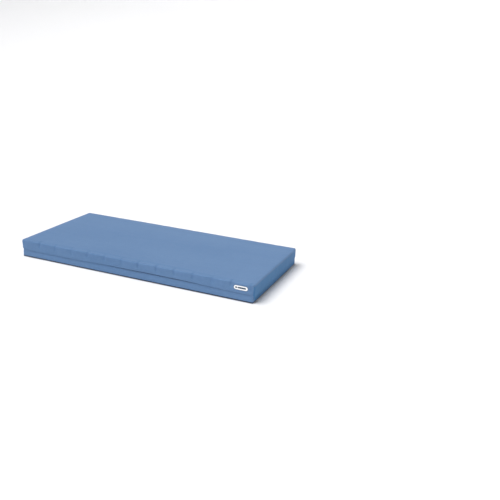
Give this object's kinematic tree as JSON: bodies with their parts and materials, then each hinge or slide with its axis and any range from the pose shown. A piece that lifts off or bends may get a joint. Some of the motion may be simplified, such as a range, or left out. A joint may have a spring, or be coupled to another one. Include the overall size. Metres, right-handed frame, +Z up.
{
  "type": "pressure relief mattress",
  "caption": "Hospital foam mattress: a slab slotted across its width, in a wipe-clean cover with a long zip under flaps.",
  "frame": {"origin": "on the surface it lies on, under the middle of the whole mattress", "axes": "+X from the head end to the foot end, -Y the front long side with the label, +Z up"},
  "size_m": [2, 0.9, 0.135],
  "materials": {
    "cover": "matt coated stretch fabric, fine knit",
    "base_fabric": "matt coated fabric, heavier than the cover",
    "binding": "woven edge tape",
    "foam": "open-cell grey polyurethane foam, matt",
    "zip_tape": "woven polyester tape",
    "zip_coil": "nylon coil",
    "zip_metal": "die-cast, nickel plated",
    "label": "blank moulded label with a raised rim"
  },
  "bodies": {
    "base": {"foam_core": "foam", "base_panel": "base_fabric", "lower_border_front": "cover", "lower_border_rear": "cover", "lower_border_head": "cover", "lower_border_foot": "cover", "bottom_binding": "binding", "lower_zip_tape": "zip_tape", "lower_zip_coil": "zip_coil", "zip_end_stops": "zip_metal"},
    "lid": {"top_panel": "cover", "top_edge": "cover", "upper_border_front": "cover", "upper_border_rear": "cover", "upper_border_head": "cover", "upper_border_foot": "cover", "upper_zip_tape": "zip_tape", "upper_zip_coil": "zip_coil"},
    "front_flap": {"front_flap": "cover", "front_flap_hem": "cover", "label": "label"},
    "head_flap": {"head_flap": "cover", "head_flap_hem": "cover"},
    "foot_flap": {"foot_flap": "cover", "foot_flap_hem": "cover"},
    "slider": {"zip_slider": "zip_metal", "zip_pull": "zip_metal"}
  },
  "joints": [
    {"name": "cover_open", "type": "hinge", "parent": "base", "child": "lid", "pos_m": [0, 0.4506, 0.068], "axis": [-1, 0, 0], "range_deg": [0, 180]},
    {"name": "flap_lift", "type": "hinge", "parent": "lid", "child": "front_flap", "pos_m": [0, -0.4492, 0.1242], "axis": [-1, 0, 0], "range_deg": [0, 110]},
    {"name": "head_flap_lift", "type": "hinge", "parent": "lid", "child": "head_flap", "pos_m": [-1, 0, 0.1242], "axis": [0, 1, 0], "range_deg": [0, 110]},
    {"name": "foot_flap_lift", "type": "hinge", "parent": "lid", "child": "foot_flap", "pos_m": [1, 0, 0.1242], "axis": [0, -1, 0], "range_deg": [0, 110]},
    {"name": "zip_slide", "type": "slide", "parent": "base", "child": "slider", "axis": [0, -1, 0], "range_m": [0, 0.8]}
  ],
  "couplings": [
    {"joint": "head_flap_lift", "follows": "flap_lift", "ratio": 1},
    {"joint": "foot_flap_lift", "follows": "flap_lift", "ratio": 1}
  ]
}
